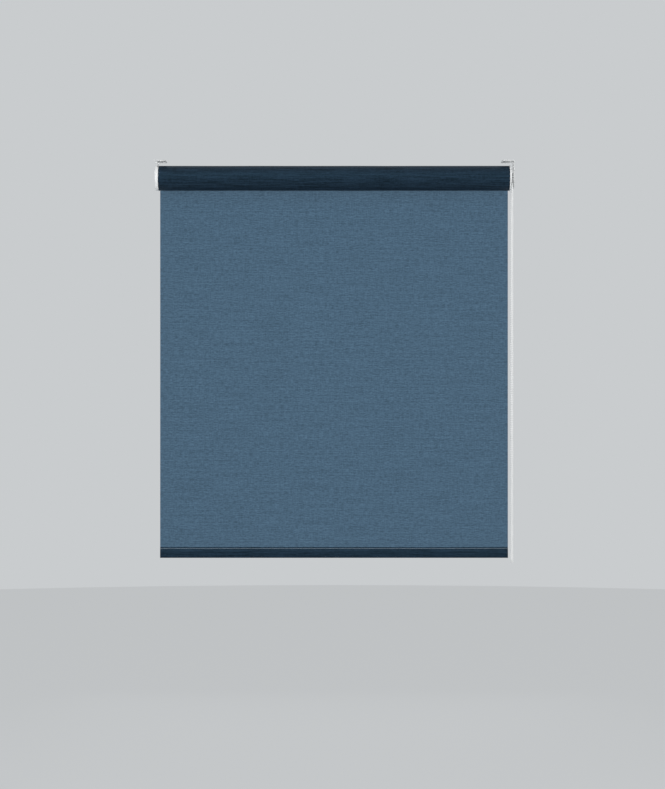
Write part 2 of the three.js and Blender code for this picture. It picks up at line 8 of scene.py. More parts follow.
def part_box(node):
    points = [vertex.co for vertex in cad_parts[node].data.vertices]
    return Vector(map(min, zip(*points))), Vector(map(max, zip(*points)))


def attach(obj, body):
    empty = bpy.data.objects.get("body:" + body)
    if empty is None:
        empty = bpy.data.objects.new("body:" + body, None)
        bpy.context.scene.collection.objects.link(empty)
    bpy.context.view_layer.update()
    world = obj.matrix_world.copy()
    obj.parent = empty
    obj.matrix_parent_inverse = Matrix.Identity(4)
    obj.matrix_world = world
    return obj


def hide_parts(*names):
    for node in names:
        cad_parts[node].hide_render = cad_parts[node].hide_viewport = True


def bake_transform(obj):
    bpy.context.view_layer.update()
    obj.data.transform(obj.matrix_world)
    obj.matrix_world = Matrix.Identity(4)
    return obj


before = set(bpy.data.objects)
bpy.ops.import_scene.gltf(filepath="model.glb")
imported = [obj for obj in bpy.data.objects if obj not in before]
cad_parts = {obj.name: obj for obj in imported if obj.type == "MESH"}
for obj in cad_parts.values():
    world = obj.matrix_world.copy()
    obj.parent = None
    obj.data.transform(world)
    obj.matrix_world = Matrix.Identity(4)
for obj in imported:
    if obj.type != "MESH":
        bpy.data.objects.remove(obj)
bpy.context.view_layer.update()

bpy.ops.object.select_all(action="DESELECT")


# Studio. A pale round floor lies 2 m below the fixing plane, clear of the cloth when all is let down.
# Two soft lamps stand to the sides and a small one high in front, so that the roll looks round, and a
# wide one behind gives the daylight in the cloth. The camera looks straight at the blind from 5.3 m.
def linear(hex_colour):
    values = [int(hex_colour[i:i + 2], 16) / 255 for i in (1, 3, 5)]
    return [v / 12.92 if v <= 0.04045 else ((v + 0.055) / 1.055) ** 2.4 for v in values] + [1]


def add_node(tree, kind, settings=None, inputs=None):
    made = tree.nodes.new(kind)
    for name, value in (settings or {}).items():
        setattr(made, name, value)
    for name, value in (inputs or {}).items():
        if isinstance(value, bpy.types.NodeSocket):
            tree.links.new(value, made.inputs[name])
        else:
            made.inputs[name].default_value = value
    return made


camera_place = (-0.00413, -5.3212, -0.6252)
camera_lens = 90.56
farthest_seen = 30
bpy.ops.object.camera_add(location=camera_place, rotation=(math.radians(90), 0, 0))
camera = bpy.context.object
camera.data.lens = camera_lens
camera.data.clip_end = farthest_seen
bpy.context.scene.camera = camera
bpy.context.scene.view_settings.view_transform = "Standard"

floor_radius = 9
floor_z = -2
bpy.ops.mesh.primitive_circle_add(
    vertices=96, radius=floor_radius, fill_type="NGON", location=(0, 0, floor_z)
)
floor = bpy.context.object
floor.name = "studio_floor"
floor_paint = bpy.data.materials.new("matt pale floor paint")
floor_paint.use_nodes = True
floor_tree = floor_paint.node_tree
floor_shader = floor_tree.nodes["Principled BSDF"]
floor_shader.inputs["Base Color"].default_value = linear("#d3d5d6")
floor_shader.inputs["Roughness"].default_value = 0.8


# This share counts only for what the camera sees, straight, in a shiny surface or through the cloth.
# It lets the backdrop and the floor be pale without putting more light on the blind.
def seen_share(tree, share):
    ray = add_node(tree, "ShaderNodeLightPath")
    whole = ray.outputs["Is Camera Ray"]
    for kind in ("Is Glossy Ray", "Is Transmission Ray"):
        whole = add_node(
            tree, "ShaderNodeMath", {"operation": "MAXIMUM"}, {0: whole, 1: ray.outputs[kind]}
        ).outputs[0]
    return add_node(
        tree, "ShaderNodeMath", {"operation": "MULTIPLY"}, {0: whole, 1: share}
    ).outputs[0]


backdrop = "#c9ccce"
floor_light_share = 0.8
floor_light = add_node(floor_tree, "ShaderNodeEmission", inputs={"Color": linear(backdrop)})
floor_mix = add_node(
    floor_tree,
    "ShaderNodeMixShader",
    inputs={
        0: seen_share(floor_tree, floor_light_share),
        1: floor_shader.outputs[0],
        2: floor_light.outputs[0],
    },
)
floor_tree.links.new(
    floor_mix.outputs[0], floor_tree.nodes["Material Output"].inputs["Surface"]
)
floor.data.materials.append(floor_paint)

blind_middle = Vector((0, 0, -0.55))
for name, place, size, power, spread in (
    ("left lamp", (-3.2, -2.7, 0.0), 1.6, 62, 180),
    ("right lamp", (3.2, -2.7, 0.0), 1.6, 62, 180),
    ("high lamp", (-0.3, -2.9, 1.95), 0.8, 26, 180),
    ("daylight lamp", (0.0, 4.2, -0.6), 2.4, 33, 80),
):
    bpy.ops.object.light_add(type="AREA", location=place)
    lamp = bpy.context.object
    lamp.name = name
    lamp.rotation_euler = (blind_middle - Vector(place)).to_track_quat("-Z", "Y").to_euler()
    lamp.data.size = size
    lamp.data.energy = power
    lamp.data.spread = math.radians(spread)
    lamp.visible_camera = False
    lamp.visible_glossy = name != "daylight lamp"

world = bpy.data.worlds.new("studio air")
world.use_nodes = True
bpy.context.scene.world = world
air = world.node_tree
air.nodes.clear()
room_light = 0.35
seen = add_node(air, "ShaderNodeBackground", inputs={"Color": linear(backdrop), "Strength": 1.0})
felt = add_node(
    air, "ShaderNodeBackground", inputs={"Color": linear("#ffffff"), "Strength": room_light}
)
air_mix = add_node(
    air,
    "ShaderNodeMixShader",
    inputs={0: seen_share(air, 1), 1: felt.outputs[0], 2: seen.outputs[0]},
)
add_node(air, "ShaderNodeOutputWorld", inputs={"Surface": air_mix.outputs[0]})


# Bead chain. One endless loop of 4.5 mm acetal beads, moulded on a polyester string every 6 mm,
# runs over the wheel inside the guard and hangs down to just below the hem. The beads that the guard
# holds are one piece, and the ones that hang free are another.
def pick(piece):
    bpy.ops.object.select_all(action="DESELECT")
    piece.select_set(True)
    bpy.context.view_layer.objects.active = piece


def tidy(piece, name):
    pick(piece)
    bpy.ops.object.transform_apply(location=True, rotation=True, scale=True)
    piece.name = name
    return piece


def work_on(piece):
    pick(piece)
    bpy.ops.object.mode_set(mode="EDIT")


def choose(piece, kind, wanted):
    bpy.ops.mesh.select_mode(type={"verts": "VERT", "edges": "EDGE", "faces": "FACE"}[kind])
    bpy.ops.mesh.select_all(action="DESELECT")
    mesh = bmesh.from_edit_mesh(piece.data)
    for one in getattr(mesh, kind):
        if wanted(one):
            one.select_set(True)
    mesh.select_flush_mode()
    bmesh.update_edit_mesh(piece.data)


def join_pieces(pieces, name):
    bpy.ops.object.select_all(action="DESELECT")
    for piece in pieces:
        piece.select_set(True)
    bpy.context.view_layer.objects.active = pieces[0]
    bpy.ops.object.join()
    return tidy(pieces[0], name)


tube_low, tube_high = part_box("roller_tube")
axis_z = (tube_low.z + tube_high.z) / 2
clip_low, clip_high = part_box("chain_connector")
chain_x = (clip_low.x + clip_high.x) / 2
loop_z = (clip_low.z + clip_high.z) / 2
bead_radius = 0.00225
bead_pitch = 0.006
string_radius = 0.0009
wheel_pockets = 20
wheel_radius = bead_pitch * wheel_pockets / (2 * math.pi)

# Each half of the loop goes flat through the clip, round a quarter bend, straight up, and round a
# quarter of the wheel. The guard holds what is above its mouth.
mouth_drop = 0.0204
mouth_z = axis_z - mouth_drop
loop_flat = 0.0063
bend_radius = wheel_radius - loop_flat
bend_z = loop_z + bend_radius
strand_length = axis_z - bend_z
bend_end = loop_flat + bend_radius * math.pi / 2
half_loop = bend_end + strand_length + wheel_radius * math.pi / 2
beads_a_side = round(half_loop / bead_pitch)
bead_step = half_loop / beads_a_side


# A run is the way along the chain from the bottom of the loop. Its place comes with how far the chain
# has turned up there. The front half is on side -1.
def chain_place(run, side):
    if run < loop_flat:
        return Vector((chain_x, side * run, loop_z)), 0
    if run < bend_end:
        turn = (run - loop_flat) / bend_radius
        y = loop_flat + bend_radius * math.sin(turn)
        return Vector((chain_x, side * y, bend_z - bend_radius * math.cos(turn))), turn
    if run < bend_end + strand_length:
        return Vector((chain_x, side * wheel_radius, bend_z + run - bend_end)), math.pi / 2
    turn = (run - bend_end - strand_length) / wheel_radius
    y = side * wheel_radius * math.cos(turn)
    return Vector((chain_x, y, axis_z + wheel_radius * math.sin(turn))), math.pi / 2 + turn


# A bead is a ball, a little flat where the string goes in. The first bead of each half is inside the
# clip, so it is left out.
near_pole = 0.95 * bead_radius
pole_share = 0.93
bpy.ops.mesh.primitive_uv_sphere_add(segments=10, ring_count=6, radius=bead_radius)
bead = bpy.context.object
work_on(bead)
choose(bead, "verts", lambda v: abs(v.co.z) > near_pole)
bpy.ops.transform.resize(value=(1, 1, pole_share))
bpy.ops.object.mode_set(mode="OBJECT")
bpy.ops.object.shade_smooth()

held_beads = []
free_beads = []
for side in (-1, 1):
    for count in range(1, beads_a_side):
        place, turn = chain_place((count + 0.5) * bead_step, side)
        copy = bead.copy()
        copy.data = bead.data.copy()
        tilt = Matrix.Rotation(math.pi / 2 + side * turn, 4, "X")
        copy.matrix_world = Matrix.Translation(place) @ tilt
        bpy.context.collection.objects.link(copy)
        (held_beads if place.z > mouth_z else free_beads).append(copy)
bpy.data.objects.remove(bead)


def string_along(points):
    curve = bpy.data.curves.new("string", "CURVE")
    curve.dimensions = "3D"
    curve.bevel_depth = string_radius
    curve.bevel_resolution = 1
    curve.use_fill_caps = True
    line = curve.splines.new("POLY")
    line.points.add(len(points) - 1)
    for point, place in zip(line.points, points):
        point.co = (*place, 1)
    string = bpy.data.objects.new("string", curve)
    bpy.context.collection.objects.link(string)
    pick(string)
    bpy.ops.object.convert(target="MESH")
    return bpy.context.object


# The free string goes from the guard's mouth in front down round the loop and up again at the back.
# The held one goes from the mouth in front up over the wheel and down at the back.
mouth_run = bend_end + mouth_z - bend_z
strand_steps = 15
bend_steps = 6
held_steps = 12
free_runs = [mouth_run * i / strand_steps for i in range(strand_steps, 1, -1)]
free_runs += [bend_end * i / bend_steps for i in range(bend_steps, -1, -1)]
front = [chain_place(run, -1)[0] for run in free_runs]
back = [chain_place(run, 1)[0] for run in reversed(free_runs[:-1])]
free_path = front + back
held_runs = [mouth_run + (half_loop - mouth_run) * i / held_steps for i in range(held_steps + 1)]
held_path = [chain_place(run, -1)[0] for run in held_runs]
held_path += [chain_place(run, 1)[0] for run in reversed(held_runs[:-1])]

hanging_chain = join_pieces([string_along(free_path)] + free_beads, "hanging_chain")
chain_in_guard = join_pieces([string_along(held_path)] + held_beads, "chain_in_guard")

# The connector is a two-part acetal clip that snaps over the last bead at each end of the chain
# and shows a groove round its middle, where the two halves meet.
clip_radius = 0.0034
clip_half = 0.006
clip_rounding = 0.0011
groove_half = 0.0007
groove_wall = 0.0001
groove_share = 0.88
bpy.ops.mesh.primitive_cylinder_add(
    vertices=32,
    radius=clip_radius,
    depth=2 * clip_half,
    location=(chain_x, 0, loop_z),
    rotation=(math.radians(90), 0, 0),
)
chain_clip = tidy(bpy.context.object, "chain_clip")
work_on(chain_clip)
choose(chain_clip, "edges", lambda e: all(abs(abs(v.co.y) - clip_half) < 1e-6 for v in e.verts))
bpy.ops.mesh.bevel(offset=clip_rounding, segments=4, affect="EDGES")
for y in (groove_half, -groove_half):
    bpy.ops.mesh.select_all(action="SELECT")
    bpy.ops.mesh.bisect(plane_co=(0, y, 0), plane_no=(0, 1, 0))
choose(chain_clip, "faces", lambda f: abs(f.calc_center_median().y) < groove_half / 2)
bpy.ops.mesh.inset(thickness=groove_wall, use_even_offset=False)
bpy.ops.transform.resize(
    value=(groove_share, 1, groove_share), center_override=(chain_x, 0, loop_z)
)
bpy.ops.object.mode_set(mode="OBJECT")
bpy.ops.object.shade_smooth_by_angle(angle=math.radians(35))


# Acetal, injection moulded: bright white with a soft gloss. Handling leaves the chain a little greyer
# from one stretch to the next. The mould's fine grain takes the edge off the highlights, and is drawn
# about a millimetre wide, coarser than it is, so that it shows.
def moulded_plastic(name, pale, dull, roughness, patch_size, grain_size):
    grain_depth = 0.0001
    paint = bpy.data.materials.new(name)
    paint.use_nodes = True
    tree = paint.node_tree
    shader = tree.nodes["Principled BSDF"]
    place = add_node(tree, "ShaderNodeTexCoord").outputs["Object"]
    cloud = add_node(
        tree, "ShaderNodeTexNoise", inputs={"Vector": place, "Scale": 1 / patch_size, "Detail": 3.0}
    )
    tone = add_node(
        tree,
        "ShaderNodeMix",
        {"data_type": "RGBA"},
        {0: cloud.outputs["Fac"], 6: linear(pale), 7: linear(dull)},
    )
    tree.links.new(tone.outputs[2], shader.inputs["Base Color"])
    grit = add_node(
        tree, "ShaderNodeTexNoise", inputs={"Vector": place, "Scale": 1 / grain_size, "Detail": 2.0}
    )
    gloss = add_node(
        tree,
        "ShaderNodeMapRange",
        inputs={"Value": grit.outputs["Fac"], "To Min": roughness - 0.06, "To Max": roughness + 0.08},
    )
    tree.links.new(gloss.outputs[0], shader.inputs["Roughness"])
    dent = add_node(
        tree,
        "ShaderNodeBump",
        inputs={"Strength": 0.12, "Distance": grain_depth, "Height": grit.outputs["Fac"]},
    )
    tree.links.new(dent.outputs[0], shader.inputs["Normal"])
    shader.inputs["IOR"].default_value = 1.48
    return paint


def finish_with(piece, paint):
    piece.data.materials.clear()
    piece.data.materials.append(paint)


acetal = moulded_plastic(
    "moulded white acetal",
    "#f7f8f8",
    "#eceeee",
    roughness=0.26,
    patch_size=0.02,
    grain_size=0.0012,
)
for piece in (hanging_chain, chain_in_guard, chain_clip):
    finish_with(piece, acetal)
    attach(piece, "frame")
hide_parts("chain_front", "chain_back", "chain_bend_front", "chain_bend_back")
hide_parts("chain_on_wheel")
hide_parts("chain_connector")


# Brackets. Each is pressed from 1.5 mm steel sheet, folded at a right angle and powder coated white.
# Two screws hold the foot up, and the round-nosed plate that hangs from it carries one end of the
# roll. At the idle end the foot runs on past the fold as two ears, so both feet are as long.
def combine(piece, other, way):
    pick(piece)
    bpy.ops.object.modifier_add(type="BOOLEAN")
    modifier = piece.modifiers[-1]
    modifier.operation = way
    modifier.object = other
    bpy.ops.object.modifier_apply(modifier=modifier.name)
    bpy.data.objects.remove(other)


def cut_from(piece, cutter):
    combine(piece, cutter, "DIFFERENCE")


def add_to(piece, other):
    combine(piece, other, "UNION")


def soften(piece, width):
    pick(piece)
    bpy.ops.object.modifier_add(type="BEVEL")
    modifier = piece.modifiers[-1]
    modifier.width = width
    modifier.segments = 2
    modifier.limit_method = "ANGLE"
    modifier.angle_limit = math.radians(50)
    modifier.use_clamp_overlap = True
    bpy.ops.object.modifier_apply(modifier=modifier.name)
    bpy.ops.object.shade_smooth_by_angle(angle=math.radians(35))


def block(one_corner, other_corner):
    pairs = [sorted(pair) for pair in zip(one_corner, other_corner)]
    bpy.ops.mesh.primitive_cube_add(size=1, location=[(low + high) / 2 for low, high in pairs])
    box = bpy.context.object
    box.dimensions = [high - low for low, high in pairs]
    return tidy(box, "block")


def disc(x_start, x_end, radius, sides=96):
    bpy.ops.mesh.primitive_cylinder_add(
        vertices=sides,
        radius=radius,
        depth=abs(x_end - x_start),
        location=((x_start + x_end) / 2, 0, axis_z),
        rotation=(0, math.radians(90), 0),
    )
    return tidy(bpy.context.object, "disc")


def at_x(edge, x):
    return all(abs(vert.co.x - x) < 1e-6 for vert in edge.verts)


def rise(edge):
    return abs(edge.verts[0].co.z - edge.verts[1].co.z)


cloth_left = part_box("fabric_roll")[0].x
cloth_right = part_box("fabric_roll")[1].x
sheet = 0.0015
fold_radius = 0.003
fold_depth = 0.006
foot_corner = 0.005
ear_corner = 0.002
foot_half = 0.028
strap_half = 0.02
nose_radius = 0.028
slot_y = 0.016
slot_half_length = 0.005
slot_half_width = 0.0025
slot_cutter_low = -0.01
slot_cutter_high = 0.005

# The gap is the play that one part has in another. A cutter goes a little past what it cuts.
gap = 0.0003
past = 0.001


# A bracket starts as its foot, and the fold is drawn down from the foot's end. out is 1 where the
# plate faces right and -1 where it faces left.
def pressed_bracket(node, out, ear, name):
    low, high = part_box(node)
    free_end, tip = (low.x, high.x) if out > 0 else (high.x, low.x)
    outside = tip - out * ear
    inside = outside - out * sheet
    foot = block((free_end, low.y, -sheet), (outside, high.y, 0))
    work_on(foot)
    bpy.ops.mesh.select_all(action="SELECT")
    bpy.ops.mesh.bisect(plane_co=(inside, 0, 0), plane_no=(1, 0, 0))
    choose(
        foot,
        "faces",
        lambda f: f.normal.z < -0.9 and (f.calc_center_median().x - inside) * out > 0,
    )
    bpy.ops.mesh.extrude_region_move(
        TRANSFORM_OT_translate={"value": (0, 0, sheet - fold_depth)}
    )
    for x, z, radius, segments in (
        (outside, 0, fold_radius, 6),
        (inside, -sheet, fold_radius - sheet, 4),
    ):
        choose(
            foot,
            "edges",
            lambda e: at_x(e, x) and all(abs(v.co.z - z) < 1e-6 for v in e.verts),
        )
        bpy.ops.mesh.bevel(offset=radius, segments=segments, affect="EDGES")
    choose(foot, "edges", lambda e: at_x(e, free_end) and rise(e) > sheet / 2)
    bpy.ops.mesh.bevel(offset=foot_corner, segments=6, affect="EDGES")
    bpy.ops.object.mode_set(mode="OBJECT")
    if ear:
        fold_start = outside - out * fold_radius
        for way in (-1, 1):
            beside_strap = block(
                (fold_start, way * strap_half, -fold_depth - past),
                (outside + out * past, way * (foot_half + past), past),
            )
            cut_from(foot, beside_strap)
            wing = block(
                (fold_start - out * fold_radius, way * (strap_half + gap), -sheet),
                (tip, way * foot_half, 0),
            )
            work_on(wing)
            choose(wing, "edges", lambda e: at_x(e, tip) and rise(e) > sheet / 2)
            bpy.ops.mesh.bevel(offset=ear_corner, segments=5, affect="EDGES")
            bpy.ops.object.mode_set(mode="OBJECT")
            add_to(foot, wing)

    plate = disc(inside, outside, nose_radius)
    strap = block((inside, -strap_half, axis_z), (outside, strap_half, sheet - fold_depth))
    add_to(plate, strap)
    add_to(plate, foot)
    bracket = tidy(plate, name)

    slot_x = (outside + free_end) / 2
    for y in (-slot_y, slot_y):
        slot = block(
            (slot_x - slot_half_length, y - slot_half_width, slot_cutter_low),
            (slot_x + slot_half_length, y + slot_half_width, slot_cutter_high),
        )
        work_on(slot)
        choose(slot, "edges", lambda e: rise(e) > sheet / 2)
        bpy.ops.mesh.bevel(offset=0.996 * slot_half_width, segments=6, affect="EDGES")
        bpy.ops.object.mode_set(mode="OBJECT")
        cut_from(bracket, slot)
    return bracket


ear_length = 0.0086
idle_bracket = pressed_bracket("idle_bracket", -1, ear_length, "idle_end_bracket")
control_bracket = pressed_bracket("control_bracket", 1, 0, "control_end_bracket")

# The idle plate has a round hole for the bush. The control plate has a square one for the spindle,
# and a slot above and one below it for the guard's tongues.
plate_reach = 0.015
bush_hole = 0.0049
cut_from(idle_bracket, disc(cloth_left, cloth_left - plate_reach, bush_hole, sides=48))
square_half = 0.0045
cut_from(
    control_bracket,
    block(
        (cloth_right, -square_half, axis_z - square_half),
        (cloth_right + plate_reach, square_half, axis_z + square_half),
    ),
)
tongue_slot_near = 0.0224
tongue_slot_far = 0.025
tongue_slot_half = 0.0033
for way in (-1, 1):
    cut_from(
        control_bracket,
        block(
            (cloth_right, -tongue_slot_half, axis_z + way * tongue_slot_near),
            (cloth_right + plate_reach, tongue_slot_half, axis_z + way * tongue_slot_far),
        ),
    )


# Powder coat on steel: a satin white skin, baked on, with the faint orange peel of its kind
# and a little thinner, so slightly darker, in broad patches.
def powder_coat():
    patch_size = 0.016
    peel_size = 0.0011
    peel_depth = 0.0001
    paint = bpy.data.materials.new("white powder coat on folded steel")
    paint.use_nodes = True
    tree = paint.node_tree
    shader = tree.nodes["Principled BSDF"]
    place = add_node(tree, "ShaderNodeTexCoord").outputs["Object"]
    patches = add_node(
        tree, "ShaderNodeTexNoise", inputs={"Vector": place, "Scale": 1 / patch_size, "Detail": 3.0}
    )
    tone = add_node(
        tree,
        "ShaderNodeMix",
        {"data_type": "RGBA"},
        {0: patches.outputs["Fac"], 6: linear("#e6e7e7"), 7: linear("#d6d8d9")},
    )
    tree.links.new(tone.outputs[2], shader.inputs["Base Color"])
    peel = add_node(
        tree, "ShaderNodeTexNoise", inputs={"Vector": place, "Scale": 1 / peel_size, "Detail": 2.0}
    )
    bump = add_node(
        tree,
        "ShaderNodeBump",
        inputs={"Strength": 0.25, "Distance": peel_depth, "Height": peel.outputs["Fac"]},
    )
    tree.links.new(bump.outputs[0], shader.inputs["Normal"])
    shader.inputs["Roughness"].default_value = 0.42
    return paint


coat = powder_coat()
deburred = 0.00025
for piece, node in ((idle_bracket, "idle_bracket"), (control_bracket, "control_bracket")):
    soften(piece, deburred)
    finish_with(piece, coat)
    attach(piece, "frame")
    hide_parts(node)


# Idle end. A moulded white ABS cap snaps over the bracket's nose. Behind it a small bush in the plate
# takes a sprung steel pin, which slides in the plug at the end of the tube.
cover_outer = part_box("idle_cover")[0].x
cover_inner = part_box("idle_cover")[1].x
cover_radius = 0.034
cover_wall = 0.0016
cover_rounding = 0.0025
rim_rounding = 0.0003
cover = disc(cover_inner, cover_outer, cover_radius, sides=128)
cover.name = "idle_end_cover"
work_on(cover)
choose(cover, "faces", lambda f: f.normal.x > 0.9)
bpy.ops.mesh.inset(thickness=cover_wall)
bpy.ops.mesh.extrude_region_move(
    TRANSFORM_OT_translate={"value": (cover_outer - cover_inner + cover_wall, 0, 0)}
)
choose(cover, "edges", lambda e: at_x(e, cover_outer))
bpy.ops.mesh.bevel(offset=cover_rounding, segments=8, affect="EDGES")
choose(cover, "edges", lambda e: at_x(e, cover_inner))
bpy.ops.mesh.bevel(offset=rim_rounding, segments=2, affect="EDGES")
bpy.ops.object.mode_set(mode="OBJECT")

# The cap is open at the top for the bracket's strap, and four ribs inside grip the nose. A turn of 0
# is straight back and a turn of 0.25 is up.
notch_x = cloth_left - 0.0047
notch_half = strap_half + gap
cut_from(
    cover,
    block(
        (notch_x, -notch_half, axis_z),
        (cover_inner + past, notch_half, axis_z + cover_radius + past),
    ),
)
rib_end = cloth_left - 0.0024
rib_half = 0.0008
for turn in (0.055, 0.445, 0.68, 0.82):
    rib = block(
        (cover_outer + cover_wall / 2, -rib_half, nose_radius + gap),
        (rib_end, rib_half, cover_radius - cover_wall / 2),
    )
    rib.data.transform(
        Matrix.Translation((0, 0, axis_z)) @ Matrix.Rotation(2 * math.pi * (turn - 0.25), 4, "X")
    )
    add_to(cover, rib)
edge_break = 0.0002
soften(cover, edge_break)

# ABS, injection moulded: clean white with a fine spark-eroded grain that takes the shine down to
# satin. The grain is drawn coarser than it is, as on the chain.
white_abs = moulded_plastic(
    "moulded white ABS",
    "#f3f4f5",
    "#e9ebec",
    roughness=0.36,
    patch_size=0.03,
    grain_size=0.0009,
)


def dress(node, paint):
    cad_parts[node].material_slots[0].material = paint


finish_with(cover, white_abs)
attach(cover, "frame")
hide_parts("idle_cover")
dress("idle_bush", white_abs)
dress("idle_plug", white_abs)


# Metal that was turned, drawn or extruded is half bright, with fine lines along its length that
# stretch the highlights. The lines are made 0.4 mm wide, coarser than they are, so that they show. The
# zinc plate on the pin and on the weight bar makes them a cool grey.
def drawn_metal(name, colour, roughness):
    line_length = 0.025
    line_width = 0.0004
    cloud_size = 0.008
    paint = bpy.data.materials.new(name)
    paint.use_nodes = True
    tree = paint.node_tree
    shader = tree.nodes["Principled BSDF"]
    place = add_node(tree, "ShaderNodeTexCoord").outputs["Object"]
    along = add_node(
        tree,
        "ShaderNodeMapping",
        inputs={"Vector": place, "Scale": (1 / line_length, 1 / line_width, 1 / line_width)},
    )
    lines = add_node(tree, "ShaderNodeTexNoise", inputs={"Vector": along.outputs[0], "Scale": 1.0})
    rough = add_node(
        tree,
        "ShaderNodeMapRange",
        inputs={"Value": lines.outputs["Fac"], "To Min": roughness - 0.08, "To Max": roughness + 0.1},
    )
    tree.links.new(rough.outputs[0], shader.inputs["Roughness"])
    cloud = add_node(tree, "ShaderNodeTexNoise", inputs={"Vector": place, "Scale": 1 / cloud_size})
    bright = linear(colour)
    dull = [0.8 * v for v in bright[:3]] + [1]
    tone = add_node(
        tree,
        "ShaderNodeMix",
        {"data_type": "RGBA"},
        {0: cloud.outputs["Fac"], 6: bright, 7: dull},
    )
    tree.links.new(tone.outputs[2], shader.inputs["Base Color"])
    shader.inputs["Metallic"].default_value = 1.0
    return paint


zinc = drawn_metal("bright zinc plate on steel", "#a9acae", roughness=0.34)
dress("idle_pin", zinc)


# Pin spring. Seven turns of 0.9 mm spring wire, coiled cold, between the pin's collar and the far end
# of the plug. The real spring closes up when the pin is pressed in; this one is drawn at rest.
spring_low, spring_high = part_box("idle_pin_spring")
wire_radius = 0.00045
wire_sides = 10
spring_turns = 7
steps_a_turn = 24
spring_start = spring_low.x + wire_radius
spring_end = spring_high.x - wire_radius
bpy.ops.mesh.primitive_circle_add(vertices=wire_sides, radius=wire_radius)
pin_spring = bpy.context.object
work_on(pin_spring)
bpy.ops.transform.translate(value=(0, (spring_high.z - spring_low.z) / 2 - wire_radius, 0))
bpy.ops.object.mode_set(mode="OBJECT")
pin_spring.location = (spring_start, 0, axis_z)
bpy.ops.object.modifier_add(type="SCREW")
coil = pin_spring.modifiers[-1]
coil.axis = "X"
coil.angle = 2 * math.pi * spring_turns
coil.screw_offset = spring_end - spring_start
coil.steps = coil.render_steps = steps_a_turn * spring_turns
bpy.ops.object.modifier_apply(modifier=coil.name)
work_on(pin_spring)
bpy.ops.mesh.select_all(action="SELECT")
bpy.ops.mesh.fill_holes(sides=wire_sides)
bpy.ops.mesh.select_all(action="SELECT")
bpy.ops.mesh.normals_make_consistent(inside=False)
bpy.ops.object.mode_set(mode="OBJECT")
tidy(pin_spring, "pin_spring")
bpy.ops.object.shade_smooth_by_angle(angle=math.radians(50))

# Spring wire, drawn hard and oiled: a darker grey than the plated steel, with the same fine lines.
spring_wire = drawn_metal("oiled spring wire", "#8e9294", roughness=0.3)
finish_with(pin_spring, spring_wire)
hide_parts("idle_pin_spring")
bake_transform(pin_spring)


# Control end. One white ABS moulding is both the flange that keeps the cloth off the chain and the
# drum that covers the wheel. It locks into the plate by two tongues. A slot in front shows the beads,
# and below it is open for the two strands.
flange_radius = 0.034
flange_inner = cloth_right + 0.0008
flange_outer = cloth_right + 0.0043
flange_dish = 0.0016
flange_rounding = 0.0012
drum_radius = 0.025
drum_wall = 0.0026
drum_end = cloth_right + 0.0112
halfway_out = (drum_radius + flange_radius) / 2


def off_axis(vert):
    return Vector((vert.co.y, vert.co.z - axis_z)).length


guard = disc(flange_inner, flange_outer, flange_radius, sides=128)
guard.name = "control_end_guard"
work_on(guard)
choose(guard, "faces", lambda f: f.normal.x < -0.9)
bpy.ops.mesh.inset(thickness=flange_dish)
bpy.ops.mesh.extrude_region_move(TRANSFORM_OT_translate={"value": (flange_dish, 0, 0)})
choose(
    guard,
    "faces",
    lambda f: f.normal.x > 0.9 and abs(f.calc_center_median().x - flange_outer) < 1e-6,
)
bpy.ops.mesh.inset(thickness=flange_radius - drum_radius)
bpy.ops.mesh.inset(thickness=drum_wall)
choose(
    guard,
    "faces",
    lambda f: f.normal.x > 0.9
    and len(f.verts) == 4
    and all(off_axis(v) < halfway_out for v in f.verts),
)
bpy.ops.mesh.extrude_region_move(
    TRANSFORM_OT_translate={"value": (drum_end - flange_outer, 0, 0)}
)
choose(
    guard,
    "edges",
    lambda e: at_x(e, flange_outer) and all(off_axis(v) > halfway_out for v in e.verts),
)
bpy.ops.mesh.bevel(offset=flange_rounding, segments=6, affect="EDGES")
bpy.ops.object.mode_set(mode="OBJECT")
hub_hole = 0.0114
cut_from(guard, disc(flange_inner - past, drum_end + past, hub_hole, sides=64))

tongue_start = flange_outer - 0.0005
tongue_end = cloth_right + 0.0127
tongue_near = 0.0227
tongue_far = 0.0243
tongue_half = 0.003
opening_half = 0.00285
for way in (-1, 1):
    tongue = block(
        (tongue_start, -tongue_half, axis_z + way * tongue_near),
        (tongue_end, tongue_half, axis_z + way * tongue_far),
    )
    add_to(guard, tongue)
    opening = block(
        (chain_x - opening_half, way * wheel_radius - opening_half, axis_z - drum_radius - past),
        (chain_x + opening_half, way * wheel_radius + opening_half, axis_z),
    )
    cut_from(guard, opening)
bead_slot_half = 0.0017
bead_slot_reach = 0.011
bead_slot = block(
    (chain_x - bead_slot_half, -drum_radius - past, axis_z - bead_slot_reach),
    (chain_x + bead_slot_half, -wheel_radius, axis_z + bead_slot_reach),
)
cut_from(guard, bead_slot)
soften(guard, edge_break)
finish_with(guard, white_abs)
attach(guard, "frame")
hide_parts("control_guard")

# Inside the drum: the wheel is white, the fixed spindle is dark glass-filled nylon, a dull charcoal,
# and two coils of spring wire grip it until the chain moves them. A steel ring keeps the hub on.
dark_nylon = moulded_plastic(
    "moulded dark nylon",
    "#3b3f43",
    "#303438",
    roughness=0.5,
    patch_size=0.02,
    grain_size=0.0009,
)
dress("chain_wheel", acetal)
dress("drive_hub", white_abs)
dress("control_core", dark_nylon)
for node in ("brake_spring_outer", "brake_spring_inner", "core_clip"):
    dress(node, spring_wire)


# Tube. Extruded aluminium, 60 mm across, sawn to length and left in its mill finish, a dull silver with
# fine lines along it. Two ribs inside it lock on to the hub and the plug.
mill_aluminium = drawn_metal("mill-finish aluminium", "#c3c7ca", roughness=0.38)
dress("roller_tube", mill_aluminium)


